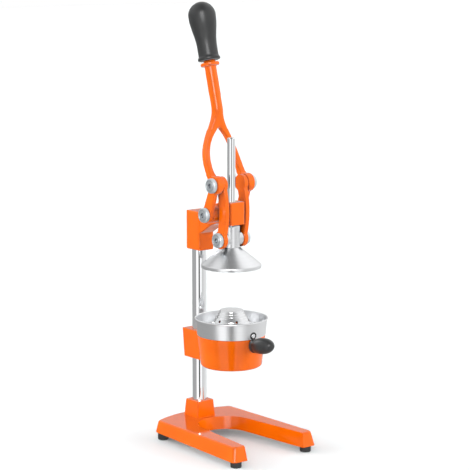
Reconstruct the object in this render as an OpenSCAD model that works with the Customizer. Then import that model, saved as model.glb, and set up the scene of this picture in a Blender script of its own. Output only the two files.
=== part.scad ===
// Lever citrus juice press: cast base and column, clamped head and cup holder,
// forked hand lever, two links and a sliding press rod with its cone.
// Millimetres. X runs across the press, the front is -Y, +Z is up.
// "Forward" sizes are measured from the column axis towards the front.

/* [Stand] */
// Height of the rubber feet
foot_h = 11; // [8:1:20]
// Radius of a rubber foot
foot_r = 9.5; // [8:0.5:11]
// Width of the cast base at its underside
base_w = 180; // [170:1:200]
// Height of the cast base
base_h = 25; // [22:1:30]
// Reach of the legs forward of the column
base_front = 210; // [195:1:240]
// Reach of the base behind the column
base_rear = 38; // [34:1:50]
// Side draft of the base, bottom to top
base_draft = 5.5; // [3:0.5:7]
// Narrowing of each side of the base towards its rear
base_taper = 5; // [0:0.5:8]
// Rise of the base's underside towards its rear
base_lift = 5; // [0:0.5:6]
// Radius of the base's upright corners
base_corner = 7; // [3:0.5:10]
// Width of a leg at its front end, at the underside
leg_w = 28; // [26:1:34]
// Radius of the round end of the gap between the legs
gap_r = 44; // [38:1:48]
// Radius of the column
column_r = 12.5; // [11:0.5:13.5]
// Height of the square socket above the base
socket_h = 29; // [22:1:40]
// Width of the socket at its top
socket_w = 35; // [33:1:40]

/* [Press axis] */
// Distance of the press rod forward of the column
rod_f = 90; // [88:1:94]
// Radius of the press rod
rod_r = 7; // [6:0.5:7.5]
// Height of the top end of the press rod
rod_top_z = 536; // [520:1:538]

/* [Cup] */
// Height of the strainer cup's rim
rim_z = 227; // [222:1:232]
// Radius of the strainer cup's wall at its rim
cup_r = 61.5; // [59:0.5:63]
// Sheet thickness of the strainer cup
cup_wall = 1.5; // [1:0.1:2]
// Height of the band above the holder
band_h = 29; // [26:1:32]
// Radius of the reamer's flat top
reamer_top_r = 19.5; // [16:0.5:22]
// Height of the reamer's flat top above the rim
reamer_rise = 13; // [10:0.5:16]
// Radius of the reamer's upper step
reamer_step_r = 27.5; // [26:0.5:29]
// Radius of the reamer's lower step
reamer_low_step_r = 33; // [32:0.5:34.5]
// Radius of the drain holes
drain_r = 2.2; // [1.5:0.1:2.6]
// Drain holes in each ring on the reamer
drain_count = 6; // [4:1:8]
// Height of the cast cup holder
holder_h = 55; // [50:1:60]
// Wall of the cup holder
holder_wall = 5; // [4:0.5:5.5]
// Radius of the holder's juice outlet
outlet_r = 20; // [14:1:24]
// Length of the cup handle
handle_len = 50; // [44:1:54]
// Radius of the cup handle's bulb
handle_r = 13.8; // [12:0.2:14.4]

/* [Head] */
// Half of the width of the head casting
head_half = 16; // [16:0.5:16.5]
// Height of the underside of the head
head_z = 334; // [326:1:336]
// Height of the head's column housing
head_h = 68; // [66:1:74]
// Height of the guide block's underside
guide_z = 388.5; // [387:0.5:390]
// Height of the guide block
guide_h = 39; // [36:1:42]
// Half of the width of the guide block
guide_half = 15.2; // [14.5:0.1:15.5]

/* [Linkage] */
// Main pivot, forward of the column
main_f = 69.5; // [69:0.5:71]
// Height of the main pivot
main_z = 405; // [404:0.5:406]
// Upper link pivot, forward of the main pivot
crank_f = 20.5; // [18:0.5:21]
// Upper link pivot, above the main pivot
crank_z = 52.5; // [51:0.5:54]
// Height of the lower link pivot at rest
cross_z = 363; // [362:0.5:366]
// Radius of the pivot screws' shoulders
shoulder_r = 5; // [4:0.5:6]
// Radius of the pivot screws' heads
screw_head_r = 12.6; // [11:0.2:13.5]
// Inner face of a link, from the middle
link_in = 18; // [17.8:0.1:18.5]
// Thickness of a link
link_t = 8; // [7:0.5:8.5]
// Width of a link between its eyes
link_w = 19; // [16:0.5:20]
// Thickness of a fork arm
arm_t = 8; // [6:0.5:9]
// Thickness of the fork's upper bosses
fork_boss_t = 13; // [12:0.5:15]

/* [Lever] */
// Backward lean of the lever's shaft
lean = 15; // [13:0.5:16]
// Radius of the lever's shaft
shaft_r = 10.1; // [9.5:0.1:12]
// Height at which the shaft leaves the fork
shaft_z = 580; // [578:1:590]
// Length of the shaft, from the fork to the grip
shaft_len = 86; // [80:1:95]
// Length of the hand grip
grip_len = 101; // [94:1:115]
// Greatest radius of the hand grip
grip_r = 23.6; // [21:0.2:25]

/* [Cone] */
// Radius of the press cone's rim
cone_r = 51.5; // [48:0.5:53]
// Height of the press cone above its lip
cone_h = 29.5; // [27:0.5:31]
// Height of the press cone's lip
lip_h = 6; // [4:0.5:7]
// Sheet thickness of the press cone
cone_wall = 2; // [1.5:0.1:2.5]

/* [Hidden] */
$fn = 96;

// Clearances
fit = 0.05;        // shaft in its bore
body_gap = 0.3;    // between pieces that move past each other
seat = 0.02;       // between faces that rest on each other

// Paint and metal as they look
paint = "#F26A12";
black = "#2F2F31";
steel = "#B9BBBE";
dark_steel = "#7C7F83";
bronze = "#A9803F";

// Frame: the origin lies on the floor under the middle of the base
origin_f = (base_front - base_rear) / 2;
function y_at(f) = origin_f - f;

// Base
base_top = foot_h + base_h;
rear_bow = 20;                       // sagitta of the curved rear edge
rear_half = base_w / 2 - base_taper;
rear_r = (pow(rear_half, 2) + pow(rear_bow, 2)) / (2 * rear_bow);
edge_round = 2.5;
gap_front_half = base_w / 2 - leg_w;
gap_f = 78;                          // centre of the round end of the gap
gap_draft_rear = 6;                  // the round end opens more than the legs do
gap_draft_front = 3;
front_foot_half = base_w / 2 - leg_w / 2;
front_foot_f = base_front - 12;
rear_foot_half = rear_half - 16;
rear_foot_f = -base_rear + 23;
foot_places = [[-front_foot_half, front_foot_f], [front_foot_half, front_foot_f],
    [-rear_foot_half, rear_foot_f], [rear_foot_half, rear_foot_f]];
foot_screw_r = 2;
foot_screw_len = 16;
foot_recess_r = 4.6;
foot_recess_h = 4.5;
socket_draft = 2.5;
socket_z = base_top + socket_h;
column_seat_z = foot_h + 17;
bolt_r = 5;
bolt_head_r = 9;
bolt_head_h = 6.4;
washer_r = 11;
washer_h = 2;
washer_z = column_seat_z - 8;
socket_round = 2;

// Column
column_top_z = head_z + head_h - 6;
bolt_reach = 22;

// Head
housing_rear = 17;
housing_front = 21.5;
head_top = head_z + head_h;
corner_r = 3;
arm_root_drop = 36;                  // the arm's underside meets the housing this far below its top
guide_top = guide_z + guide_h;
guide_wall = 18.5;                   // from the press axis to the front and back of the guide block
bush_r = 10;
main_boss_r = 14;
set_screw_r = 4;
set_screw_len = 14;
set_screw_cap_r = 6.5;
set_screw_cap_h = 5;

// Lateral stack of the linkage
link_out = link_in + link_t;
fork_in = link_out + body_gap;
fork_out = fork_in + fork_boss_t;
arm_in = fork_out - arm_t;
main_boss_out = arm_in - body_gap;
head_t = 7;                          // thickness of a pivot screw's head
bush_t = 1.5;
blind_floor = 2;                     // metal left under a blind hole
upper_f = main_f + crank_f;
upper_z = main_z + crank_z;
upper_eye_r = 16;
main_eye_r = 14;
link_upper_r = 14.5;
link_lower_r = 15;
cross_boss_r = 11.5;
cross_boss_out = link_in - body_gap;

// Lever
crotch_z = 551;
lean_step = tan(lean);
shaft_f = 52.3;                      // where the shaft leaves the fork
arm_w = 10;                          // width of an arm beside the upper eye
merge_h = 30;                        // the fork's corners fade into the shaft over this height
merge_low = shaft_r - 2;
merge_half = 5.5;
shaft_root = 12;                     // the shaft's root tapers into the fork over this length
collar_r = 16.2;
collar_h = 5.5;
collar_s = shaft_len - 10;
tang_r = 6;
tang_len = 50;
insert_r = 9;
insert_len = 40;
grip_mouth_r = 19.3;
grip_waist_r = 17.2;

// Cup and holder
band_z = rim_z - band_h;
holder_top = band_z - seat;
holder_z = holder_top - holder_h;
band_r = cup_r - 2.5;
trough_z = band_z + 5;
reamer_r = 41;
rim_roll = 1.6;
holder_r = band_r - 0.5;
holder_low_r = holder_r - 5.5;
skirt_r = holder_low_r - 3;          // the part of the cup that drops into the holder
skirt_h = 12;
foot_round = 5;
clamp_half = 18;
clamp_rear = 25;
clamp_taper = 5;
clamp_pad_f = clamp_taper / 2 - clamp_rear + 1.2;   // flat seat of the set screw
clamp_z = holder_z - 1;
clamp_h = 50;
spout_h = 2.5;
handle_tilt = 10;
handle_z = band_z - 11;
handle_f = rod_f + 61;
stud_r = 3;
stud_drop = 1;                       // the stud's root lies this far below the handle
notch_half = 5;
nut_r = 9;
nut_h = 6;

// Crosshead and cone
hub_r = 14.3;
hub_above = guide_z - cross_z - 2.5;  // the sleeve reaches up to just under the guide
hub_below = 13.5;
hub_z = cross_z - hub_below;
hub_top = cross_z + hub_above;
cone_top = hub_z - seat;
lip_top = cone_top - cone_h;
rod_end_z = cone_top - cone_wall - washer_h - nut_h - 2;
pin_r = 2;

// Point on a cubic curve
function curve(a, b, c, d, t) =
    pow(1 - t, 3) * a + 3 * pow(1 - t, 2) * t * b + 3 * (1 - t) * t * t * c + pow(t, 3) * d;
// Direction of that curve
function heading(a, b, c, d, t) =
    let (v = pow(1 - t, 2) * (b - a) + 2 * (1 - t) * t * (c - b) + t * t * (d - c)) v / norm(v);
// Outline of a strip along that curve, its width changing from w0 to w1
function strip(a, b, c, d, w0, w1, steps) = concat(
    [for (i = [0:steps]) edge_of_strip(a, b, c, d, w0, w1, i / steps, 1)],
    [for (i = [steps:-1:0]) edge_of_strip(a, b, c, d, w0, w1, i / steps, -1)]);
function edge_of_strip(a, b, c, d, w0, w1, t, side) =
    let (h = heading(a, b, c, d, t), w = w1 + (w0 - w1) * pow(1 - t, 2))
    curve(a, b, c, d, t) + side * [-h[1], h[0]] * w / 2;

// Children at a place forward of the column
module place(f, z = 0, x = 0) {
    translate([x, y_at(f), z]) children();
}

// A side view, drawn forward and up, given a thickness from x0 to x1
module side_plate(x0, x1) {
    translate([x1, origin_f, 0]) rotate([90, 0, -90]) linear_extrude(x1 - x0) children();
}

// A bar across the press from x0 to x1
module cross_bar(f, z, x0, x1, r) {
    place(f, z, x0) rotate([0, 90, 0]) cylinder(h = x1 - x0, r = r);
}

// The same piece on both sides
module both_sides() {
    children();
    mirror([1, 0, 0]) children();
}

// An upright block with round corners, centred on its place
module block(w, d, h, r) {
    translate([-w / 2 + r, -d / 2, 0]) cube([w - 2 * r, d, h]);
    translate([-w / 2, -d / 2 + r, 0]) cube([w, d - 2 * r, h]);
    for (x = [-1, 1], y = [-1, 1])
        translate([x * (w / 2 - r), y * (d / 2 - r), 0]) cylinder(h = h, r = r);
}

// A ring round the press axis, from its half section
module turned() {
    place(rod_f) rotate_extrude() children();
}

// Base ------------------------------------------------------------------

module base_slice(inset, z, t) {
    translate([0, 0, z]) linear_extrude(t) offset(r = base_corner) offset(delta = -base_corner - inset)
        intersection() {
            polygon([[-base_w / 2, y_at(base_front)], [base_w / 2, y_at(base_front)],
                [rear_half, y_at(-base_rear)], [-rear_half, y_at(-base_rear)]]);
            translate([0, y_at(rear_r - base_rear)]) circle(r = rear_r, $fn = 240);
        }
}

module gap_slice(draft_front, draft_rear, z) {
    place(gap_f, z) cylinder(h = 1, r = gap_r + draft_rear, $fn = 64);
    place(base_front + 10, z, -gap_front_half - draft_front)
        cube([2 * (gap_front_half + draft_front), 1, 1]);
}

// Everything below the sloping underside of the base
module below_base(drop) {
    side_plate(-base_w, base_w) polygon([[base_front + 20, -1], [-base_rear - 20, -1],
        [-base_rear - 20, foot_h - drop + base_lift], [front_foot_f, foot_h - drop],
        [base_front + 20, foot_h - drop]]);
}

module base() {
    color(paint) difference() {
        union() {
            difference() {
                hull() {
                    base_slice(0, foot_h, 1);
                    base_slice(base_draft - 1, base_top - edge_round, 0.5);
                    base_slice(base_draft + 1, base_top - 0.5, 0.5);
                }
                hull() {
                    gap_slice(0, 0, foot_h - 1);
                    gap_slice(gap_draft_front, gap_draft_rear, base_top);
                }
            }
            hull() {
                place(0, base_top - 4) block(socket_w + 2 * socket_draft, socket_w + 2 * socket_draft,
                    1, socket_round);
                place(0, socket_z - 3) block(socket_w, socket_w, 2, socket_round);
                place(0, socket_z - 1) block(socket_w - 2, socket_w - 2, 1, socket_round);
            }
        }
        below_base(0);
        place(0, column_seat_z) cylinder(h = socket_z, r = column_r + fit);
        place(0, 0) cylinder(h = socket_z, r = bolt_r + fit);
        place(0, 0) cylinder(h = washer_z, r = washer_r + 1);
        for (p = foot_places) place(p[1], 0, p[0]) cylinder(h = foot_h + foot_screw_len - 1, r = foot_screw_r);
    }
}

module rubber_feet() {
    color(black) for (p = foot_places) intersection() {
        below_base(seat);
        place(p[1], 0, p[0]) difference() {
            union() {
                cylinder(h = 1, r1 = foot_r - 1, r2 = foot_r);
                translate([0, 0, 1]) cylinder(h = 2 * foot_h, r = foot_r);
            }
            cylinder(h = 6 * foot_h, r = foot_screw_r + 0.2, center = true);
            cylinder(h = 2 * foot_recess_h, r = foot_recess_r, center = true);
        }
    }
}

module foot_screws() {
    head_r = foot_recess_r - 0.6;
    head_h = 2.4;
    color(dark_steel) for (p = foot_places) place(p[1], foot_recess_h, p[0]) {
        translate([0, 0, -head_h - seat]) difference() {
            cylinder(h = head_h, r = head_r);
            cube([2 * head_r, 1, 2], center = true);
        }
        translate([0, 0, -head_h]) cylinder(h = head_h + foot_screw_len, r = foot_screw_r - fit);
    }
}

module column() {
    chamfer = 1.2;
    color(steel) place(0, column_seat_z + seat) difference() {
        union() {
            cylinder(h = column_top_z - column_seat_z - chamfer, r = column_r);
            translate([0, 0, column_top_z - column_seat_z - chamfer])
                cylinder(h = chamfer, r1 = column_r, r2 = column_r - chamfer);
        }
        translate([0, 0, -1]) cylinder(h = bolt_reach + 2, r = bolt_r);
    }
}

module column_washer() {
    color(dark_steel) place(0, washer_z - washer_h - seat) difference() {
        cylinder(h = washer_h, r = washer_r);
        translate([0, 0, -1]) cylinder(h = washer_h + 2, r = bolt_r + 0.3);
    }
}

module column_bolt() {
    head_top_z = washer_z - washer_h - 2 * seat;
    color(dark_steel) place(0, head_top_z - bolt_head_h) {
        cylinder(h = bolt_head_h, r = bolt_head_r, $fn = 6);
        cylinder(h = column_seat_z + bolt_reach - head_top_z + bolt_head_h - 2, r = bolt_r - fit);
    }
}

// Head ------------------------------------------------------------------

module arm_outline() {
    arch_start = [housing_front - 3, head_top - arm_root_drop - 2];
    arch_end = [rod_f - guide_wall + 4, guide_z];
    steps = 8;
    polygon(concat(
        [for (i = [0:steps]) curve(arch_start, arch_start + [18, 6], arch_end - [26, 1], arch_end, i / steps)],
        [[rod_f - guide_wall + 4, guide_top - 3], [main_f - 4, guide_top - 5],
            [housing_front - 3, head_top - 2]]));
}

module head_bracket() {
    housing_d = housing_rear + housing_front;
    housing_mid = (housing_front - housing_rear) / 2;
    color(paint) difference() {
        union() {
            place(housing_mid, head_z) block(2 * head_half, housing_d, head_h, corner_r);
            side_plate(-guide_half, guide_half) arm_outline();
            place(rod_f, guide_z) block(2 * guide_half, 2 * guide_wall, guide_h, corner_r);
            cross_bar(main_f, main_z, -main_boss_out, main_boss_out, main_boss_r);
        }
        place(0, head_z - 1) cylinder(h = column_top_z - head_z + 1.5, r = column_r + fit);
        place(rod_f, guide_z - 1) cylinder(h = guide_h + 2, r = bush_r + fit);
        both_sides() cross_bar(main_f, main_z, head_half - 8, main_boss_out + 1, shoulder_r - 1);
        for (z = [head_z + 16, head_z + head_h - 24])
            place(0, z) rotate([-90, 0, 0]) cylinder(h = housing_rear + 5, r = set_screw_r);
    }
}

module set_screw() {
    rotate([-90, 0, 0]) {
        translate([0, 0, -set_screw_len]) cylinder(h = set_screw_len + set_screw_cap_h, r = set_screw_r - fit);
        difference() {
            cylinder(h = set_screw_cap_h, r = set_screw_cap_r, $fn = 6);
            translate([0, 0, set_screw_cap_h - 0.6]) difference() {
                cylinder(h = 1, r = set_screw_cap_r + 1);
                translate([0, 0, -1]) cylinder(h = 3, r = set_screw_cap_r * 0.84);
            }
        }
    }
}

module screw_room(len_in) {
    wide = 4 * set_screw_cap_r;
    translate([-wide / 2, -len_in, -wide / 2]) cube(wide);
}

module head_set_screws() {
    len_in = housing_rear - column_r - 2 * fit;
    color(dark_steel) for (z = [head_z + 16, head_z + head_h - 24])
        place(-housing_rear - seat, z) intersection() {
            set_screw();
            screw_room(len_in);
        }
}

module guide_bush() {
    color(bronze) place(rod_f, guide_z) difference() {
        cylinder(h = guide_h, r = bush_r);
        translate([0, 0, -1]) cylinder(h = guide_h + 2, r = rod_r + fit);
    }
}

// Cup holder and strainer -----------------------------------------------

module cup_holder() {
    inner_r = holder_r - holder_wall;
    inner_low_r = holder_low_r - holder_wall;
    floor_z = holder_z + holder_wall;
    color(paint) difference() {
        union() {
            turned() polygon(concat(
                [[0, holder_z], [holder_low_r - foot_round, holder_z]],
                [for (a = [-75:15:0]) [holder_low_r - foot_round + foot_round * cos(a),
                    holder_z + foot_round + foot_round * sin(a)]],
                [[holder_r, holder_top - 1.5], [holder_r - 1, holder_top], [0, holder_top]]));
            place(rod_f, holder_z - spout_h) cylinder(h = spout_h + 1, r = outlet_r + holder_wall);
            side_plate(-clamp_half, clamp_half) polygon([[-clamp_rear, clamp_z + clamp_h],
                [clamp_taper - clamp_rear, clamp_z], [rod_f - holder_low_r + 8, clamp_z],
                [rod_f - holder_r + 8, clamp_z + clamp_h]]);
        }
        turned() polygon([[0, holder_z - spout_h - 1], [outlet_r, holder_z - spout_h - 1],
            [outlet_r, floor_z], [inner_low_r - 6, floor_z + 4], [inner_low_r, floor_z + 10],
            [inner_r, holder_top + 1], [0, holder_top + 1]]);
        place(0, clamp_z - 1) cylinder(h = clamp_h + 2, r = column_r + fit);
        place(0, clamp_z + clamp_h / 2) rotate([-90, 0, 0]) cylinder(h = clamp_rear + 5, r = set_screw_r);
        place(clamp_pad_f, clamp_z + clamp_h / 2) rotate([-90, 0, 0]) cylinder(h = 10, r = set_screw_cap_r + 1);
        place(rod_f + holder_r + 5, handle_z - notch_half - stud_drop, -notch_half)
            cube([2 * notch_half, holder_wall + 15, holder_top - handle_z + notch_half + stud_drop + 1]);
    }
}

module holder_set_screw() {
    len_in = -clamp_pad_f - column_r - 2 * fit;
    color(dark_steel) place(clamp_pad_f - seat, clamp_z + clamp_h / 2) intersection() {
        set_screw();
        screw_room(len_in);
    }
}

module strainer_cup() {
    top_z = rim_z + reamer_rise;
    step_r = [reamer_step_r, reamer_low_step_r];
    skirt_z = band_z - skirt_h;
    color(steel) difference() {
        union() {
            turned() polygon([
                [0, top_z], [reamer_top_r, top_z], [step_r[0] - 1, rim_z + 1], [step_r[0] + 0.5, rim_z],
                [step_r[1] - 1, rim_z - 7], [step_r[1] + 0.8, rim_z - 8], [reamer_r, trough_z + 1],
                [reamer_r + 1.5, trough_z], [band_r - cup_wall - 1, trough_z], [band_r - cup_wall, trough_z + 1],
                [cup_r - cup_wall, rim_z - 1], [cup_r, rim_z - 1], [band_r, band_z],
                [skirt_r, band_z], [skirt_r, skirt_z], [skirt_r - cup_wall, skirt_z],
                [skirt_r - cup_wall, trough_z - cup_wall], [reamer_r + 1.5, trough_z - cup_wall],
                [reamer_r - 1, trough_z], [step_r[1] - 1, rim_z - 9], [step_r[1] - 2.5, rim_z - 8],
                [step_r[0] - 1.2, rim_z - 1], [reamer_top_r - 1, top_z - cup_wall], [0, top_z - cup_wall]]);
            turned() translate([cup_r + 0.4, rim_z - rim_roll]) circle(r = rim_roll);
        }
        place(rod_f) for (i = [0:drain_count - 1]) {
            rotate(9.5 + i * 360 / drain_count) translate([step_r[0] + 2, 0, rim_z - 4]) rotate([0, 35, 0])
                cylinder(h = 16, r = drain_r, center = true);
            rotate(39.5 + i * 360 / drain_count) translate([step_r[1] + 2.5, 0, rim_z - 12]) rotate([0, 35, 0])
                cylinder(h = 16, r = drain_r, center = true);
        }
        place(rod_f) for (i = [0:2 * drain_count - 1])
            rotate(9.5 + i * 180 / drain_count) translate([(reamer_r + skirt_r) / 2 + 0.5, 0, trough_z - 5])
                cylinder(h = 8, r = drain_r * 0.8);
    }
}

module handle_axis() {
    place(handle_f, handle_z) rotate([90 - handle_tilt, 0, 0]) children();
}

module cup_handle() {
    widest = handle_len * 0.47;
    rear_axis = handle_len * 0.45;
    front_axis = handle_len - widest;
    color(black) handle_axis() difference() {
        rotate_extrude() polygon(concat(
            [[0, 0], [11, 0], [12, 1], [12, 3.5], [11, 5.5]],
            [for (a = [-42:7:0]) [handle_r * cos(a), widest + rear_axis * sin(a)]],
            [for (a = [7.5:7.5:90]) [handle_r * cos(a), widest + front_axis * sin(a)]]));
        translate([0, 0, -1]) cylinder(h = 25, r = stud_r + fit);
    }
}

module handle_stud() {
    color(steel) {
        handle_axis() translate([0, 0, -6]) cylinder(h = 28, r = stud_r);
        place(rod_f + skirt_r + seat, handle_z - stud_drop) rotate([90, 0, 0])
            cylinder(h = handle_f - rod_f - skirt_r - 4, r = stud_r + 1);
    }
}

// Lever -----------------------------------------------------------------

module pivot_screw(x_head, x_end, shank_r) {
    socket_r = 4.2;
    difference() {
        union() {
            translate([x_head, 0, 0]) rotate([0, 90, 0]) cylinder(h = head_t - 1, r = screw_head_r);
            translate([x_head + head_t - 1, 0, 0]) rotate([0, 90, 0])
                cylinder(h = 1, r1 = screw_head_r, r2 = screw_head_r - 1);
            translate([x_end, 0, 0]) rotate([0, 90, 0]) cylinder(h = x_head + 1 - x_end, r = shank_r);
        }
        translate([x_head + head_t - 2.5, 0, 0]) rotate([0, 90, 0]) cylinder(h = 4, r = socket_r, $fn = 6);
    }
}

module main_pivot_screws() {
    color(steel) both_sides() place(main_f, main_z) {
        pivot_screw(fork_out + body_gap, main_boss_out + seat, shoulder_r);
        translate([head_half - 7, 0, 0]) rotate([0, 90, 0])
            cylinder(h = main_boss_out - head_half + 8, r = shoulder_r - 1 - fit);
    }
}

module fork_side() {
    top = [shaft_f, shaft_z];
    eye = [upper_f, upper_z];
    main = [main_f, main_z];
    across = [crank_z, -crank_f] / norm([crank_z, crank_f]);
    polygon(strip(top, [50, 535], [56, 490], eye, 2 * merge_low, arm_w, 16));
    translate(eye) circle(r = upper_eye_r);
    translate(main) circle(r = main_eye_r);
    polygon([eye + 8 * across, eye - 8 * across, main - 10 * across, main + 12 * across]);
    polygon([top + [-merge_low, 0], top + [merge_low, 0], top + [merge_half - merge_h * lean_step, merge_h],
        top + [-merge_half - merge_h * lean_step, merge_h]]);
}

module fork_front() {
    steps = 14;
    low_z = main_z - main_eye_r - 2;
    outer = [for (i = [0:steps]) curve([merge_low, shaft_z + 2], [11, 545], [fork_out + 1.5, 530],
        [fork_out, upper_z + upper_eye_r], i / steps)];
    inner = [for (i = [0:steps]) curve([0, crotch_z], [12, 541], [fork_in + 2.5, 522],
        [fork_in, upper_z + upper_eye_r], i / steps)];
    both_sides() polygon(concat([[0, shaft_z + merge_h], [merge_half, shaft_z + merge_h]], outer,
        [[fork_out, low_z], [arm_in, low_z], [arm_in, upper_z - upper_eye_r], [fork_in, upper_z]],
        [for (i = [steps:-1:0]) inner[i]]));
}

module lever_axis(s) {
    place(shaft_f, shaft_z) rotate([-lean, 0, 0]) translate([0, 0, s]) children();
}

module lever_fork() {
    color(paint) difference() {
        union() {
            intersection() {
                side_plate(-2 * fork_out, 2 * fork_out) fork_side();
                place(-base_front) rotate([90, 0, 0]) linear_extrude(2 * base_front) fork_front();
            }
            lever_axis(-shaft_root) cylinder(h = shaft_root - 2, r1 = shaft_r / 2, r2 = shaft_r);
            lever_axis(-2) cylinder(h = shaft_len + 2 - seat, r = shaft_r);
            lever_axis(collar_s) cylinder(h = 1, r1 = collar_r - 1, r2 = collar_r);
            lever_axis(collar_s + 1) cylinder(h = collar_h - 1, r = collar_r);
            lever_axis(shaft_len - 1) cylinder(h = tang_len, r = tang_r);
        }
        both_sides() {
            cross_bar(upper_f, upper_z, fork_in - 1, fork_out + 1, shoulder_r + bush_t + fit);
            cross_bar(main_f, main_z, arm_in - 1, fork_out + 1, shoulder_r + bush_t + fit);
        }
    }
}

module lever_bushes() {
    color(bronze) both_sides() {
        difference() {
            cross_bar(upper_f, upper_z, fork_in, fork_out, shoulder_r + bush_t);
            cross_bar(upper_f, upper_z, fork_in - 1, fork_out + 1, shoulder_r + fit);
        }
        difference() {
            cross_bar(main_f, main_z, arm_in, fork_out, shoulder_r + bush_t);
            cross_bar(main_f, main_z, arm_in - 1, fork_out + 1, shoulder_r + fit);
        }
    }
}

module lever_grip() {
    bulb = grip_len - grip_r;
    color(black) lever_axis(shaft_len) difference() {
        rotate_extrude() polygon(concat(
            [[0, 0], [grip_mouth_r - 0.8, 0], [grip_mouth_r, 1], [grip_mouth_r, 4],
                [grip_mouth_r - 0.8, 5.5], [grip_waist_r + 0.3, 8]],
            [for (i = [0:8]) let (t = i / 8) [grip_waist_r + (grip_r - grip_waist_r) * t * t * (3 - 2 * t),
                24 + (bulb - 26) * t]],
            [for (a = [9:9:90]) [grip_r * cos(a), bulb + grip_r * sin(a)]]));
        translate([0, 0, -1]) cylinder(h = insert_len + 1, r = insert_r + fit);
        translate([0, 0, -1]) cylinder(h = tang_len + 3, r = tang_r + fit);
    }
}

module grip_insert() {
    color(bronze) lever_axis(shaft_len + seat) difference() {
        cylinder(h = insert_len - 1, r = insert_r);
        translate([0, 0, -1]) cylinder(h = insert_len + 2, r = tang_r + fit);
    }
}

// Links -----------------------------------------------------------------

module link_bar() {
    bulge = 11.5;
    upper = [upper_f, upper_z];
    lower = [rod_f, cross_z];
    third = (upper_z - cross_z) / 3;
    side_plate(link_in, link_out)
        polygon(strip(upper, upper + [bulge, -third], lower + [bulge, third], lower, link_w, link_w, 14));
    cross_bar(upper_f, upper_z, link_in, link_out, link_upper_r);
    cross_bar(rod_f, cross_z, link_in, link_out, link_lower_r);
}

module link() {
    color(paint) difference() {
        link_bar();
        cross_bar(upper_f, upper_z, link_in + blind_floor, link_out + 1, shoulder_r - 1);
        cross_bar(rod_f, cross_z, link_in - 1, link_out + 1, shoulder_r + bush_t + fit);
    }
}

module left_link() {
    mirror([1, 0, 0]) link();
}

module right_link() {
    link();
}

module link_bushes() {
    color(bronze) both_sides() difference() {
        cross_bar(rod_f, cross_z, link_in, link_out, shoulder_r + bush_t);
        cross_bar(rod_f, cross_z, link_in - 1, link_out + 1, shoulder_r + fit);
    }
}

module upper_pivot_screws() {
    color(steel) both_sides() place(upper_f, upper_z) {
        pivot_screw(fork_out + body_gap, link_out + seat, shoulder_r);
        translate([link_in + blind_floor + 0.5, 0, 0]) rotate([0, 90, 0])
            cylinder(h = link_t - blind_floor, r = shoulder_r - 1 - fit);
    }
}

module lower_pivot_screws() {
    color(steel) both_sides() place(rod_f, cross_z) pivot_screw(link_out + seat, link_in, shoulder_r);
}

// Press rod and cone ----------------------------------------------------

module press_rod() {
    chamfer = 1.5;
    color(steel) place(rod_f, rod_end_z) difference() {
        union() {
            cylinder(h = rod_top_z - rod_end_z - chamfer, r = rod_r);
            translate([0, 0, rod_top_z - rod_end_z - chamfer])
                cylinder(h = chamfer, r1 = rod_r, r2 = rod_r - chamfer);
        }
        translate([0, 0, cross_z - rod_end_z]) rotate([0, 90, 0])
            cylinder(h = 4 * rod_r, r = pin_r + fit, center = true);
    }
}

module crosshead() {
    color(steel) difference() {
        union() {
            place(rod_f, hub_z) cylinder(h = hub_top - hub_z - 1, r = hub_r);
            place(rod_f, hub_top - 1) cylinder(h = 1, r1 = hub_r, r2 = hub_r - 1);
            cross_bar(rod_f, cross_z, -cross_boss_out, cross_boss_out, cross_boss_r);
        }
        place(rod_f, hub_z - 1) cylinder(h = 60, r = rod_r + fit);
        cross_bar(rod_f, cross_z, -link_in, link_in, pin_r + fit);
    }
}

module crosshead_pin() {
    color(dark_steel) cross_bar(rod_f, cross_z, 1 - cross_boss_out, cross_boss_out - 1, pin_r);
}

module press_cone() {
    color(steel) turned() polygon([
        [rod_r + fit, cone_top], [hub_r, cone_top], [hub_r + 1, cone_top - 0.6], [cone_r - 0.5, lip_top + 0.4],
        [cone_r, lip_top - 0.4], [cone_r, lip_top - lip_h + 0.6], [cone_r - 0.6, lip_top - lip_h],
        [cone_r - cone_wall, lip_top - lip_h], [cone_r - cone_wall, lip_top - 1],
        [hub_r, cone_top - cone_wall - 0.8], [rod_r + fit, cone_top - cone_wall - 0.8]]);
}

module cone_washer() {
    color(dark_steel) place(rod_f, cone_top - cone_wall - 0.8 - seat - washer_h) difference() {
        cylinder(h = washer_h, r = hub_r - 1);
        translate([0, 0, -1]) cylinder(h = washer_h + 2, r = rod_r + fit);
    }
}

module cone_nut() {
    color(steel) place(rod_f, cone_top - cone_wall - 0.8 - 2 * seat - washer_h - nut_h) difference() {
        cylinder(h = nut_h, r = nut_r + 3, $fn = 6);
        translate([0, 0, -1]) cylinder(h = nut_h + 2, r = rod_r + fit);
    }
}

base();
rubber_feet();
foot_screws();
column();
column_bolt();
column_washer();
head_bracket();
head_set_screws();
guide_bush();
cup_holder();
holder_set_screw();
strainer_cup();
cup_handle();
handle_stud();
main_pivot_screws();
lever_fork();
lever_bushes();
lever_grip();
grip_insert();
left_link();
right_link();
upper_pivot_screws();
lower_pivot_screws();
link_bushes();
press_rod();
crosshead();
crosshead_pin();
press_cone();
cone_washer();
cone_nut();
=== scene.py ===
import math

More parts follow.
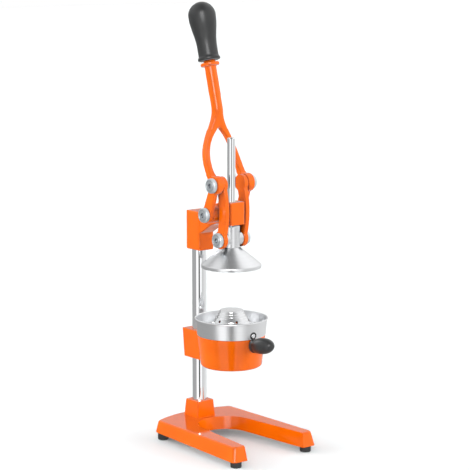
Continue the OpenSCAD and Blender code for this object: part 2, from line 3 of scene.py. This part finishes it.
import bpy
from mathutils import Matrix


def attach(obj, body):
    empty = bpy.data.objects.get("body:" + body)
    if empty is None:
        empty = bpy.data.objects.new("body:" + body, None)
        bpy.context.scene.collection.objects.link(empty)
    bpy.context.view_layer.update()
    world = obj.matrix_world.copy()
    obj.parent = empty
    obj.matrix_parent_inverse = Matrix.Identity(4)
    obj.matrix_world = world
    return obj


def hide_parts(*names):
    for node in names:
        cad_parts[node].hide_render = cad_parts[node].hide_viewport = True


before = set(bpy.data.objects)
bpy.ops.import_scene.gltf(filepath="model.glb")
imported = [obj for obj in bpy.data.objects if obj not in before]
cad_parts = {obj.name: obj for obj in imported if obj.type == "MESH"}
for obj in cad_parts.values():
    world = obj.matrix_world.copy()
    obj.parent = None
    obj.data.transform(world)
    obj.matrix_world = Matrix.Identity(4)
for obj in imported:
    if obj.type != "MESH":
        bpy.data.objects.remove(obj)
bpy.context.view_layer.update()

# ---------------------------------------------------------------------------
# Camera. A long lens, a little higher than the press, looks down 9.5 degrees
# from the press's front left, as the photograph was taken.
# ---------------------------------------------------------------------------
look_left = math.radians(-38.60)
look_down = math.radians(9.47)
picture_px = 470.0
focal_px = 1844.35
bpy.ops.object.select_all(action="DESELECT")
bpy.ops.object.camera_add(location=(-1.92645, -2.42727, 0.88597),
                          rotation=(math.pi / 2 - look_down, 0.0, look_left))
camera = bpy.context.object
camera.name = "studio_camera"
camera.data.sensor_width = 36.0
camera.data.lens = camera.data.sensor_width * focal_px / picture_px
camera.data.clip_end = 50.0
bpy.context.scene.camera = camera
bpy.context.scene.view_settings.view_transform = "Standard"

# ---------------------------------------------------------------------------
# Base. Sand-cast iron under thick orange enamel, fired glossy. Its draft,
# square column socket and rounded corners come from the casting pattern.
# ---------------------------------------------------------------------------


def linear(colour):
    """An sRGB hex colour as linear red, green, blue and alpha."""
    parts = [int(colour[i:i + 2], 16) / 255 for i in (1, 3, 5)]
    return [c / 12.92 if c <= 0.04045 else ((c + 0.055) / 1.055) ** 2.4 for c in parts] + [1.0]


def add(tree, kind, settings=None, links=None):
    """Adds a node with its settings and links, and returns it."""
    node = tree.nodes.new(kind)
    for key, value in (settings or {}).items():
        if key in node.inputs:
            node.inputs[key].default_value = value
        else:
            setattr(node, key, value)
    for key, (source, output) in (links or {}).items():
        tree.links.new(source.outputs[output], node.inputs[key])
    return node


def new_material(name, settings):
    """A material with one Principled shader, and the shader itself."""
    material = bpy.data.materials.new(name)
    material.use_nodes = True
    shader = material.node_tree.nodes["Principled BSDF"]
    for key, value in settings.items():
        shader.inputs[key].default_value = value
    return material, material.node_tree, shader


def dress(piece, material, slot, body, *nodes):
    """Gives a piece its finish, and its place among the press's bodies and nodes."""
    piece.data.materials.clear()
    piece.data.materials.append(material)
    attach(piece, body)
    if nodes:
        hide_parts(*nodes)


def copy_of(node, name):
    """A copy of a solid with its loose triangles joined, alone selected."""
    bpy.ops.object.select_all(action="DESELECT")
    piece = bpy.data.objects.new(name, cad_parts[node].data.copy())
    bpy.context.collection.objects.link(piece)
    piece.select_set(True)
    bpy.context.view_layer.objects.active = piece
    bpy.ops.mesh.customdata_custom_splitnormals_clear()
    bpy.ops.object.mode_set(mode="EDIT")
    bpy.ops.mesh.select_all(action="SELECT")
    bpy.ops.mesh.remove_doubles(threshold=0.000005)
    bpy.ops.mesh.dissolve_limited(angle_limit=math.radians(0.6))
    bpy.ops.object.mode_set(mode="OBJECT")
    return piece


def round_edges(piece, width, least=28.0, rounds=3):
    """Rounds the sharp edges, as a pattern maker breaks them."""
    bevel = piece.modifiers.new("broken edges", "BEVEL")
    bevel.width = width
    bevel.segments = rounds
    bevel.limit_method = "ANGLE"
    bevel.angle_limit = math.radians(least)
    bpy.ops.object.modifier_apply(modifier=bevel.name)
    bpy.ops.object.shade_smooth_by_angle(angle=math.radians(32))
    # the long faces keep their own normals, so a bright bar reflects straight right to its ends
    true_faces = piece.modifiers.new("true faces", "WEIGHTED_NORMAL")
    true_faces.keep_sharp = True
    bpy.ops.object.modifier_apply(modifier=true_faces.name)
    return piece


# a Mix node's colour sockets: its two inputs and its output
mix_a, mix_b, mixed = 6, 7, 2


def paint_recess_shade(tree, shade, shader, distance, dark, start, end):
    """Paints shade: multiplies a colour by a darker one where the open share of the surroundings falls from
    end to start.
    """
    hollow = add(tree, "ShaderNodeAmbientOcclusion", {"Distance": distance, "samples": 8})
    shadow = add(tree, "ShaderNodeValToRGB", {}, {"Fac": (hollow, "AO")})
    shadow.color_ramp.elements[0].position = start
    shadow.color_ramp.elements[0].color = linear(dark)
    shadow.color_ramp.elements[1].position = end
    deeper = add(tree, "ShaderNodeMix", {"data_type": "RGBA", "blend_type": "MULTIPLY"})
    deeper.inputs[0].default_value = 1.0
    tree.links.new(shade.outputs["Color"], deeper.inputs[mix_a])
    tree.links.new(shadow.outputs["Color"], deeper.inputs[mix_b])
    tree.links.new(deeper.outputs[mixed], shader.inputs["Base Color"])


# Vitreous enamel: one hard gloss with faint orange peel over a full orange, with painted shade that
# turns it dark brown in closed hollows and creases, where little light reaches.
enamel, tree, shader = new_material("orange enamel", {"Roughness": 0.08, "IOR": 1.40})
place = add(tree, "ShaderNodeTexCoord")
cloud = add(tree, "ShaderNodeTexNoise", {"Scale": 26.0, "Detail": 3.0}, {"Vector": (place, "Object")})
shade = add(tree, "ShaderNodeValToRGB", {}, {"Fac": (cloud, "Fac")})
shade.color_ramp.elements[0].position = 0.30
shade.color_ramp.elements[0].color = linear("#C65200")
shade.color_ramp.elements[1].position = 0.72
shade.color_ramp.elements[1].color = linear("#CE5900")
# painted shade: the orange goes dark brown in hollows such as the cup holder's inside, and in creases
paint_recess_shade(tree, shade, shader, distance=0.05, dark="#38201C", start=0.08, end=0.36)
peel = add(tree, "ShaderNodeTexNoise", {"Scale": 260.0, "Detail": 2.0}, {"Vector": (place, "Object")})
ripple = add(tree, "ShaderNodeBump", {"Strength": 0.05, "Distance": 0.0006}, {"Height": (peel, "Fac")})
tree.links.new(ripple.outputs["Normal"], shader.inputs["Normal"])

base = round_edges(copy_of("base", "cast_base"), 0.0017, rounds=4)
dress(base, enamel, "orange_enamel", "press_stand", "base")

# ---------------------------------------------------------------------------
# Feet. Four moulded rubber feet, each held up into the base by a screw in a
# recess from below.
# ---------------------------------------------------------------------------
# Moulded rubber: near black, dull, with a fine grain from the mould.
rubber, tree, shader = new_material("foot rubber", {"Roughness": 0.62, "IOR": 1.52})
place = add(tree, "ShaderNodeTexCoord")
grain = add(tree, "ShaderNodeTexNoise", {"Scale": 900.0, "Detail": 2.0}, {"Vector": (place, "Object")})
shade = add(tree, "ShaderNodeValToRGB", {}, {"Fac": (grain, "Fac")})
shade.color_ramp.elements[0].color = linear("#141415")
shade.color_ramp.elements[1].color = linear("#262628")
tree.links.new(shade.outputs["Color"], shader.inputs["Base Color"])
pits = add(tree, "ShaderNodeBump", {"Strength": 0.25, "Distance": 0.0002}, {"Height": (grain, "Fac")})
tree.links.new(pits.outputs["Normal"], shader.inputs["Normal"])
feet = round_edges(copy_of("rubber_feet", "rubber_feet_four"), 0.0008)
dress(feet, rubber, "foot_rubber", "press_stand", "rubber_feet")

# Zinc plate: a pale bluish metal, a little cloudy.
zinc, tree, shader = new_material("zinc plate", {"Metallic": 1.0})
place = add(tree, "ShaderNodeTexCoord")
cloud = add(tree, "ShaderNodeTexNoise", {"Scale": 320.0, "Detail": 3.0}, {"Vector": (place, "Object")})
shade = add(tree, "ShaderNodeValToRGB", {}, {"Fac": (cloud, "Fac")})
shade.color_ramp.elements[0].color = linear("#9A9EA3")
shade.color_ramp.elements[1].color = linear("#B6BABF")
tree.links.new(shade.outputs["Color"], shader.inputs["Base Color"])
dull = add(tree, "ShaderNodeMapRange", {"To Min": 0.24, "To Max": 0.38}, {"Value": (cloud, "Fac")})
tree.links.new(dull.outputs["Result"], shader.inputs["Roughness"])
for node in ("foot_screws", "column_bolt", "column_washer", "head_set_screws", "holder_set_screw"):
    dress(round_edges(copy_of(node, node + "_zinc"), 0.0003), zinc, "zinc_steel", "press_stand", node)

# ---------------------------------------------------------------------------
# Column. A drawn steel bar, ground and chromed, bolted into the base's socket
# from below and clamped in the head and the cup holder.
# ---------------------------------------------------------------------------
# Chrome: a clean mirror with faint lengthwise drawing marks.
chrome, tree, shader = new_material("chromed bar", {"Metallic": 1.0})
place = add(tree, "ShaderNodeTexCoord")
along = add(tree, "ShaderNodeMapping", {"Scale": (900.0, 900.0, 14.0)}, {"Vector": (place, "Object")})
drawn = add(tree, "ShaderNodeTexNoise", {"Scale": 1.0, "Detail": 2.0}, {"Vector": (along, "Vector")})
shade = add(tree, "ShaderNodeValToRGB", {}, {"Fac": (drawn, "Fac")})
shade.color_ramp.elements[0].color = linear("#E2E3E5")
shade.color_ramp.elements[1].color = linear("#F1F2F3")
tree.links.new(shade.outputs["Color"], shader.inputs["Base Color"])
dull = add(tree, "ShaderNodeMapRange", {"To Min": 0.03, "To Max": 0.08}, {"Value": (drawn, "Fac")})
tree.links.new(dull.outputs["Result"], shader.inputs["Roughness"])
column = round_edges(copy_of("column", "chromed_column"), 0.0004)
dress(column, chrome, "chrome_bar", "press_stand", "column")

# ---------------------------------------------------------------------------
# Head. One enamelled casting: the column housing, the arched arm, the bosses
# of the main pivot and the guide block that the press rod slides through.
# ---------------------------------------------------------------------------


def cast_skin(node, name, grain, rounds):
    """A solid skinned over with soft edges and filled corners, as a casting leaves the sand."""
    piece = copy_of(node, name)
    skin = piece.modifiers.new("cast skin", "REMESH")
    skin.mode = "VOXEL"
    skin.voxel_size = grain
    skin.use_smooth_shade = True
    bpy.ops.object.modifier_apply(modifier=skin.name)
    soft = piece.modifiers.new("soft edges", "SMOOTH")
    soft.factor = 0.5
    soft.iterations = rounds
    bpy.ops.object.modifier_apply(modifier=soft.name)
    bpy.ops.object.shade_smooth()
    return piece


head = cast_skin("head_bracket", "cast_head", 0.0009, 9)
dress(head, enamel, "orange_enamel", "press_stand", "head_bracket")
head.visible_glossy = False

# Turned bronze: warm, with fine rings from the lathe.
bronze, tree, shader = new_material("turned bronze", {"Metallic": 1.0, "Roughness": 0.3})
place = add(tree, "ShaderNodeTexCoord")
rings = add(tree, "ShaderNodeTexNoise", {"Scale": 700.0, "Detail": 2.0}, {"Vector": (place, "Object")})
shade = add(tree, "ShaderNodeValToRGB", {}, {"Fac": (rings, "Fac")})
shade.color_ramp.elements[0].color = linear("#A57A3A")
shade.color_ramp.elements[1].color = linear("#C49A55")
tree.links.new(shade.outputs["Color"], shader.inputs["Base Color"])
for node, body in (("guide_bush", "press_stand"), ("lever_bushes", "hand_lever"),
                   ("grip_insert", "hand_lever"), ("link_bushes", "link_pair")):
    bush = round_edges(copy_of(node, node + "_bronze"), 0.0003)
    dress(bush, bronze, "bronze", body, node)
    bush.visible_glossy = False

# ---------------------------------------------------------------------------
# Cup holder. An enamelled cast bowl with its column clamp in one piece, and an
# outlet underneath. The strainer cup hangs in it.
# ---------------------------------------------------------------------------
holder = round_edges(copy_of("cup_holder", "cast_cup_holder"), 0.0015)
dress(holder, enamel, "orange_enamel", "press_stand", "cup_holder")

# ---------------------------------------------------------------------------
# Strainer cup. Pressed stainless sheet: a brushed wall with a rolled rim, and
# a polished reamer with drain holes in the middle.
# ---------------------------------------------------------------------------
# Stainless sheet: bright, with fine rings from polishing as it spun.
stainless, tree, shader = new_material("polished stainless", {"Metallic": 1.0})
place = add(tree, "ShaderNodeTexCoord")
bands = add(tree, "ShaderNodeMapping", {"Scale": (18.0, 18.0, 2600.0)}, {"Vector": (place, "Object")})
brushed = add(tree, "ShaderNodeTexNoise", {"Scale": 1.0, "Detail": 3.0}, {"Vector": (bands, "Vector")})
shade = add(tree, "ShaderNodeValToRGB", {}, {"Fac": (brushed, "Fac")})
shade.color_ramp.elements[0].color = linear("#D2D3D5")
shade.color_ramp.elements[1].color = linear("#E9EAEB")
# painted shade: the steel goes near black in the drain holes and other deep hollows
paint_recess_shade(tree, shade, shader, distance=0.07, dark="#141414", start=0.12, end=0.34)
# the reamer, within 34 mm of the press's axis and below 250 mm, is buffed brighter than the rest
reamer_edge = 0.034
reamer_top = 0.250
press_axis_y = -4.0  # mm
off_axis = add(tree, "ShaderNodeMapping",
               {"Location": (0.0, -press_axis_y / 1000, 0.0), "Scale": (1.0, 1.0, 0.0)},
               {"Vector": (place, "Object")})
across = add(tree, "ShaderNodeVectorMath", {"operation": "LENGTH"}, {"Vector": (off_axis, "Vector")})
up = add(tree, "ShaderNodeSeparateXYZ", {}, {"Vector": (place, "Object")})
higher = add(tree, "ShaderNodeMapRange",
             {"From Min": reamer_top, "From Max": reamer_top + 0.010, "To Max": 0.1},
             {"Value": (up, "Z")})
reach = add(tree, "ShaderNodeMath", {"operation": "ADD"})
tree.links.new(across.outputs["Value"], reach.inputs[0])
tree.links.new(higher.outputs["Result"], reach.inputs[1])
plain = add(tree, "ShaderNodeMapRange",
            {"From Min": reamer_edge, "From Max": reamer_edge + 0.008, "To Min": 0.10, "To Max": 0.26},
            {"Value": (reach, "Value")})
dull = add(tree, "ShaderNodeMath", {"operation": "MULTIPLY_ADD"})
dull.inputs[1].default_value = 0.08
tree.links.new(brushed.outputs["Fac"], dull.inputs[0])
tree.links.new(plain.outputs["Result"], dull.inputs[2])
tree.links.new(dull.outputs["Value"], shader.inputs["Roughness"])
# and it keeps the rings of the spinning tool, 4 mm apart and a sixth of a millimetre deep
rings = add(tree, "ShaderNodeTexWave", {"wave_type": "BANDS", "bands_direction": "Z", "Scale": 78.0},
            {"Vector": (place, "Object")})
inner = add(tree, "ShaderNodeMapRange", {"From Min": reamer_edge - 0.003, "From Max": reamer_edge + 0.001,
                                         "To Min": 0.00017, "To Max": 0.0}, {"Value": (reach, "Value")})
spun = add(tree, "ShaderNodeBump", {"Strength": 1.0},
           {"Height": (rings, "Fac"), "Distance": (inner, "Result")})
tree.links.new(spun.outputs["Normal"], shader.inputs["Normal"])
strainer = round_edges(copy_of("strainer_cup", "stainless_strainer"), 0.0003)
dress(strainer, stainless, "stainless", "press_stand", "strainer_cup")
stud = round_edges(copy_of("handle_stud", "handle_stud_steel"), 0.0003)
dress(stud, stainless, "stainless", "press_stand", "handle_stud")

# ---------------------------------------------------------------------------
# Cup handle. A moulded phenolic knob on the strainer's stud, with a flanged
# root, a short neck and a blunt bulb, and a painted reflection of it on the band above.
# ---------------------------------------------------------------------------


def turned(name, stations, at, lean=0.0, sides=96):
    """A disc drawn up through heights and radii in mm, leant about X in degrees and set in place."""
    bpy.ops.object.select_all(action="DESELECT")
    height, radius = stations[0]
    bpy.ops.mesh.primitive_circle_add(vertices=sides, radius=radius / 1000, fill_type="NGON")
    piece = bpy.context.object
    piece.name = name
    bpy.ops.object.mode_set(mode="EDIT")
    bpy.ops.mesh.select_all(action="SELECT")
    bpy.ops.transform.translate(value=(0.0, 0.0, height / 1000))
    for next_height, next_radius in stations[1:]:
        rise = (0.0, 0.0, (next_height - height) / 1000)
        bpy.ops.mesh.extrude_region_move(TRANSFORM_OT_translate={"value": rise})
        wider = next_radius / radius
        bpy.ops.transform.resize(value=(wider, wider, 1.0), center_override=(0.0, 0.0, next_height / 1000))
        height, radius = next_height, next_radius
    bpy.ops.mesh.select_all(action="SELECT")
    bpy.ops.mesh.normals_make_consistent(inside=False)
    bpy.ops.object.mode_set(mode="OBJECT")
    piece.rotation_euler = (math.radians(lean), 0.0, 0.0)
    piece.location = [value / 1000 for value in at]
    bpy.ops.object.transform_apply(location=True, rotation=True, scale=True)
    return piece


# Moulded phenolic: charcoal with a soft sheen and faint flow clouds.
phenolic, tree, shader = new_material("moulded phenolic", {"Roughness": 0.36, "IOR": 1.5})
place = add(tree, "ShaderNodeTexCoord")
flow = add(tree, "ShaderNodeTexNoise", {"Scale": 45.0, "Detail": 4.0}, {"Vector": (place, "Object")})
shade = add(tree, "ShaderNodeValToRGB", {}, {"Fac": (flow, "Fac")})
shade.color_ramp.elements[0].color = linear("#1B1B1C")
shade.color_ramp.elements[1].color = linear("#272828")
tree.links.new(shade.outputs["Color"], shader.inputs["Base Color"])
grain = add(tree, "ShaderNodeTexNoise", {"Scale": 1400.0, "Detail": 2.0}, {"Vector": (place, "Object")})
satin = add(tree, "ShaderNodeBump", {"Strength": 0.12, "Distance": 0.0001}, {"Height": (grain, "Fac")})
tree.links.new(satin.outputs["Normal"], shader.inputs["Normal"])
bulb_at, bulb_len, bulb_r = 23.5, 26.5, 13.8
knob_profile = [(0.0, 10.4), (0.3, 11.2), (1.0, 11.8), (2.0, 12.0), (3.6, 12.0), (4.8, 11.8), (6.0, 11.5),
                (7.4, 11.4), (9.0, 11.7), (11.5, 12.4), (14.5, 13.1), (18.5, 13.65), (bulb_at, bulb_r)]
knob_profile += [(bulb_at + bulb_len * math.sin(math.radians(a)), bulb_r * math.cos(math.radians(a)) ** 0.85)
                 for a in (8, 16, 24, 32, 40, 48, 56, 64, 72, 79, 85, 89)]
knob = turned("cup_handle_knob", knob_profile, (0.0, -65.0, 187.0), lean=80.0)
bpy.ops.object.shade_smooth_by_angle(angle=math.radians(50))
dress(knob, phenolic, "black_plastic", "press_stand", "cup_handle")
knob.visible_glossy = False
# painted reflection: the knob stays out of reflections, and right above it a dark rubber ring with a low
# chrome disc in it, square to the band, which leans out, stands for the knob's reflection and its highlight
knob_reflection_at = (0.0, -63.4, 204.0)
knob_reflection_lean = 95.0
reflection_dark_ring = turned("painted_knob_reflection_ring", [(-0.6, 6.0), (0.1, 6.5), (0.6, 6.4), (0.9, 5.9), (0.9, 4.2), (0.2, 3.9)],
              knob_reflection_at, lean=knob_reflection_lean, sides=48)
bpy.ops.object.shade_smooth_by_angle(angle=math.radians(40))
dress(reflection_dark_ring, rubber, "foot_rubber", "press_stand")
reflection_bright_spot = turned("painted_knob_reflection_spot", [(-0.4, 3.5), (0.6, 3.8), (1.0, 3.6), (1.3, 2.9), (1.45, 1.8), (1.5, 0.8)],
                knob_reflection_at, lean=knob_reflection_lean, sides=48)
bpy.ops.object.shade_smooth_by_angle(angle=math.radians(60))
dress(reflection_bright_spot, chrome, "chrome_bar", "press_stand")

# ---------------------------------------------------------------------------
# Lever. One enamelled casting: round shaft with a collar, forking into two
# arms with an eye for the upper link pivot and one for the main pivot.
# ---------------------------------------------------------------------------
lever = cast_skin("lever_fork", "cast_lever", 0.0008, 10)
bpy.ops.object.mode_set(mode="EDIT")
bpy.ops.mesh.select_mode(type="VERT")
bpy.ops.mesh.select_all(action="DESELECT")
bpy.ops.object.mode_set(mode="OBJECT")
# the arms are filed round, and the root of the shaft runs into them without a step
arms_low, root_low, root_top = 0.474, 0.546, 0.606
for low_end, passes in ((arms_low, 30), (root_low, 60)):
    for vertex in lever.data.vertices:
        vertex.select = low_end < vertex.co.z < root_top
    bpy.ops.object.mode_set(mode="EDIT")
    bpy.ops.mesh.vertices_smooth(factor=0.5, repeat=passes)
    bpy.ops.mesh.select_all(action="DESELECT")
    bpy.ops.object.mode_set(mode="OBJECT")
dress(lever, enamel, "orange_enamel", "hand_lever", "lever_fork")
lever.visible_glossy = False

# ---------------------------------------------------------------------------
# Hand grip. A phenolic grip moulded over its bronze insert: a rolled lip at the
# mouth, a slim waist and a round head.
# ---------------------------------------------------------------------------
waist_r, waist_top = 17.2, 24.0
swell, swell_len = 6.4, 51.4
ball_r, ball_at = 23.6, 77.4
grip_profile = [(0.0, 17.6), (0.4, 18.6), (1.2, 19.2), (2.4, 19.3), (3.8, 19.2), (4.8, 18.7), (5.8, 17.9),
                (7.2, 17.35), (9.5, waist_r), (16.0, waist_r)]
for step in range(17):
    t = step / 16
    grip_profile.append((waist_top + swell_len * t, waist_r + swell * t * t * (3 - 2 * t)))
grip_profile += [(ball_at + ball_r * math.sin(math.radians(a)), ball_r * math.cos(math.radians(a)))
                 for a in (4, 11, 18, 25, 32, 39, 46, 53, 60, 67, 74, 80, 85, 89)]
grip = turned("lever_hand_grip", grip_profile, (0.0, 55.958, 663.07), lean=-15.0)
bpy.ops.object.shade_smooth_by_angle(angle=math.radians(50))
dress(grip, phenolic, "black_plastic", "hand_lever", "lever_grip")

# ---------------------------------------------------------------------------
# Links. A pair of curved enamelled bars from the lever's upper eyes down to
# the crosshead.
# ---------------------------------------------------------------------------
for side in ("left", "right"):
    link = round_edges(copy_of(side + "_link", side + "_cast_link"), 0.0014)
    dress(link, enamel, "orange_enamel", "link_pair", side + "_link")
    link.visible_glossy = False

# ---------------------------------------------------------------------------
# Pivot screws. Turned shoulder screws with broad nickelled heads and hexagon
# sockets, six in all.
# ---------------------------------------------------------------------------
# Bright nickel plate: pale and slightly blue, with fine turning rings.
nickel, tree, shader = new_material("nickel plate", {"Metallic": 1.0})
place = add(tree, "ShaderNodeTexCoord")
rings = add(tree, "ShaderNodeTexNoise", {"Scale": 420.0, "Detail": 4.0}, {"Vector": (place, "Object")})
shade = add(tree, "ShaderNodeValToRGB", {}, {"Fac": (rings, "Fac")})
shade.color_ramp.elements[0].color = linear("#CBD1D6")
shade.color_ramp.elements[1].color = linear("#E4E8EA")
# painted shade: the nickel goes dark grey in the hexagon sockets and the groove under each head's rim
paint_recess_shade(tree, shade, shader, distance=0.006, dark="#4A4E54", start=0.30, end=0.80)
dull = add(tree, "ShaderNodeMapRange", {"To Min": 0.38, "To Max": 0.52}, {"Value": (rings, "Fac")})
tree.links.new(dull.outputs["Result"], shader.inputs["Roughness"])
head_profile = [(0.0, 11.6), (0.3, 12.4), (0.9, 12.6), (5.4, 12.6), (6.2, 12.3), (6.8, 11.6), (7.0, 10.8),
                (7.0, 9.7), (6.3, 9.3), (6.3, 8.3), (6.9, 7.9), (7.0, 7.5), (7.0, 5.2)]
shoulder_r = 5.0
# node, body, the pivot's Y and Z, the head's X, the shoulder's length, the pin's length and radius, in mm
for node, body, y, z, across, shoulder, pin, pin_r in (
        ("main_pivot_screws", "press_stand", 16.5, 405.0, 39.6, 8.58, 22.0, 3.9),
        ("upper_pivot_screws", "link_pair", press_axis_y, 457.5, 39.6, 13.58, 5.5, 3.9),
        ("lower_pivot_screws", "link_pair", press_axis_y, 363.0, 26.02, 4.0, 4.0, 4.95)):
    shank = [(-shoulder - pin, pin_r - 0.5), (-shoulder - pin + 0.5, pin_r), (-shoulder, pin_r),
             (-shoulder, shoulder_r), (0.0, shoulder_r)]
    upright = turned(node + "_pattern", shank + head_profile, (0.0, 0.0, 0.0), sides=72)
    bpy.ops.object.select_all(action="DESELECT")
    bpy.ops.mesh.primitive_cylinder_add(vertices=6, radius=0.0046, depth=0.006, location=(0.0, 0.0, 0.0075))
    key = bpy.context.object
    upright.select_set(True)
    bpy.context.view_layer.objects.active = upright
    socket = upright.modifiers.new("key socket", "BOOLEAN")
    socket.operation = "DIFFERENCE"
    socket.object = key
    bpy.ops.object.modifier_apply(modifier=socket.name)
    bpy.data.objects.remove(key)
    bpy.ops.object.shade_smooth_by_angle(angle=math.radians(35))
    for side, turn in (("right", 90.0), ("left", -90.0)):
        bpy.ops.object.select_all(action="DESELECT")
        screw = bpy.data.objects.new(side + "_" + node, upright.data.copy())
        bpy.context.collection.objects.link(screw)
        screw.select_set(True)
        bpy.context.view_layer.objects.active = screw
        screw.rotation_euler = (0.0, math.radians(turn), 0.0)
        screw.location = (math.copysign(across, turn) / 1000, y / 1000, z / 1000)
        bpy.ops.object.transform_apply(location=True, rotation=True, scale=True)
        dress(screw, nickel, "chrome_bar", body, node)
    bpy.data.objects.remove(upright)

# ---------------------------------------------------------------------------
# Press rod, crosshead and cone. A ground rod slides in the guide, a turned
# crosshead sits on it between the links, and the pressed cone hangs underneath.
# ---------------------------------------------------------------------------
rod = round_edges(copy_of("press_rod", "chromed_press_rod"), 0.0003)
dress(rod, chrome, "chrome_bar", "press_slide_set", "press_rod")
crosshead = round_edges(copy_of("crosshead", "turned_crosshead"), 0.0006)
dress(crosshead, stainless, "stainless", "press_slide_set", "crosshead")
cone_profile = [(346.7, 7.1), (346.5, 14.2), (319.2, 49.4), (318.2, 49.5), (314.4, 49.5), (314.0, 49.8),
                (313.98, 50.8), (314.3, 51.3), (315.0, 51.5), (319.3, 51.5), (319.8, 51.3), (320.3, 50.7),
                (348.6, 15.6), (349.2, 14.8), (349.48, 14.0), (349.48, 7.1)]
cone = turned("stainless_press_cone", cone_profile, (0.0, press_axis_y, 0.0), sides=128)
bpy.ops.object.shade_smooth_by_angle(angle=math.radians(40))
dress(cone, stainless, "stainless", "press_slide_set", "press_cone")
for node in ("crosshead_pin", "cone_washer", "cone_nut"):
    dress(round_edges(copy_of(node, node + "_zinc"), 0.0003), zinc, "zinc_steel", "press_slide_set", node)

# ---------------------------------------------------------------------------
# Floor and studio. A white sweep, three rings of boards for the chrome to mirror,
# two wide boxes beside the press that light the enamel, and two soft lamps.
# ---------------------------------------------------------------------------
bpy.ops.object.select_all(action="DESELECT")
bpy.ops.mesh.primitive_plane_add(size=30.0, location=(0.0, 0.0, 0.0))
floor = bpy.context.object
floor.name = "studio_floor"
floor.visible_glossy = False
paper, tree, shader = new_material("white paper sweep", {
    "Base Color": linear("#DEE2E3"), "Roughness": 0.8, "Specular IOR Level": 0.1,
    "Emission Color": linear("#F4F8FA"), "Emission Strength": 0.04})
floor.data.materials.append(paper)

studio = bpy.data.worlds.new("white studio")
bpy.context.scene.world = studio
studio.use_nodes = True
tree = studio.node_tree
tree.nodes.clear()
place = add(tree, "ShaderNodeTexCoord")
turn = add(tree, "ShaderNodeMapping", {"Rotation": (0.0, 0.0, math.radians(90.0) - look_left)},
           {"Vector": (place, "Generated")})
around = add(tree, "ShaderNodeTexGradient", {"gradient_type": "RADIAL"}, {"Vector": (turn, "Vector")})


def boards(stands):
    """A ring of boards: where each stands, in degrees to the right of the camera, and its brightness."""
    ring = add(tree, "ShaderNodeValToRGB", {}, {"Fac": (around, "Fac")})
    stops = ring.color_ramp.elements
    stops[0].position = 0.0
    stops[1].position = 1.0
    for degrees, bright in stands[1:-1]:
        stops.new((degrees + 180.0) / 360.0)
    for stop, (degrees, bright) in zip(stops, stands):
        stop.color = (bright, bright, bright, 1.0)
    return ring


low = boards([(-180, 0.60), (-150, 0.44), (-50, 0.46), (-44, 1.4), (-14, 1.4), (-9, 0.12),
              (9, 0.06), (14, 1.3), (34, 1.2), (50, 0.70), (90, 0.85), (130, 0.95), (179, 0.80)])
middle = boards([(-180, 0.90), (-142, 0.90), (-138, 0.22), (-131, 0.22), (-127, 1.0), (-60, 1.0), (-18, 0.8),
                 (-11, 11.0), (9, 11.0), (16, 0.8), (60, 1.1), (150, 1.2), (179, 0.90)])
high = boards([(-180, 0.80), (-142, 0.90), (-138, 0.22), (-131, 0.22), (-127, 1.3), (-85, 1.1), (-50, 0.6),
               (-20, 0.35), (20, 0.35), (60, 0.7), (100, 1.25), (150, 1.35), (179, 0.80)])
height = add(tree, "ShaderNodeSeparateXYZ", {}, {"Vector": (place, "Generated")})
levels = low
# each ring of boards takes over from the one below between two heights, given as sines
for upper, start, end in ((middle, 0.16, 0.22), (high, 0.56, 0.66), (None, 0.93, 0.98)):
    share = add(tree, "ShaderNodeMapRange", {"From Min": start, "From Max": end}, {"Value": (height, "Z")})
    blend = add(tree, "ShaderNodeMix", {"data_type": "RGBA"})
    blend.inputs[mix_b].default_value = (0.22, 0.22, 0.22, 1.0)
    tree.links.new(share.outputs["Result"], blend.inputs[0])
    tree.links.new(levels.outputs["Color" if levels == low else mixed], blend.inputs[mix_a])
    if upper:
        tree.links.new(upper.outputs["Color"], blend.inputs[mix_b])
    levels = blend
# what lights the enamel is two wide boxes, standing low on the left and on the right
boxes = boards([(-180, 0.30), (-142, 0.30), (-136, 6.4), (-64, 6.4), (-58, 0.30), (44, 0.30), (50, 6.2),
                (120, 6.2), (126, 0.30), (179, 0.30)])
above = add(tree, "ShaderNodeMapRange", {"From Min": 0.45, "From Max": 0.55}, {"Value": (height, "Z")})
soft = add(tree, "ShaderNodeMix", {"data_type": "RGBA"})
soft.inputs[mix_b].default_value = (0.28, 0.28, 0.28, 1.0)
tree.links.new(above.outputs["Result"], soft.inputs[0])
tree.links.new(boxes.outputs["Color"], soft.inputs[mix_a])
seen = add(tree, "ShaderNodeLightPath")
cast = add(tree, "ShaderNodeMix", {"data_type": "RGBA"})
tree.links.new(seen.outputs["Is Diffuse Ray"], cast.inputs[0])
tree.links.new(levels.outputs[mixed], cast.inputs[mix_a])
tree.links.new(soft.outputs[mixed], cast.inputs[mix_b])
light = add(tree, "ShaderNodeBackground", {"Strength": 1.0})
tree.links.new(cast.outputs[mixed], light.inputs["Color"])
white = add(tree, "ShaderNodeBackground", {"Color": (1.0, 1.0, 1.0, 1.0), "Strength": 1.0})
either = add(tree, "ShaderNodeMixShader", {}, {"Fac": (seen, "Is Camera Ray")})
tree.links.new(light.outputs["Background"], either.inputs[1])
tree.links.new(white.outputs["Background"], either.inputs[2])
add(tree, "ShaderNodeOutputWorld", {}, {"Surface": (either, "Shader")})

for name, tilt, turned_by, power, spread in (("overhead_soft_light", 0.0, 0.0, 0.9, 100.0),
                                             ("left_soft_light", 58.0, -94.0, 0.55, 70.0)):
    bpy.ops.object.light_add(type="SUN", location=(0.0, 0.0, 3.0),
                             rotation=(math.radians(tilt), 0.0, math.radians(turned_by)))
    lamp = bpy.context.object
    lamp.name = name
    lamp.data.energy = power
    lamp.data.angle = math.radians(spread)
    lamp.visible_glossy = False
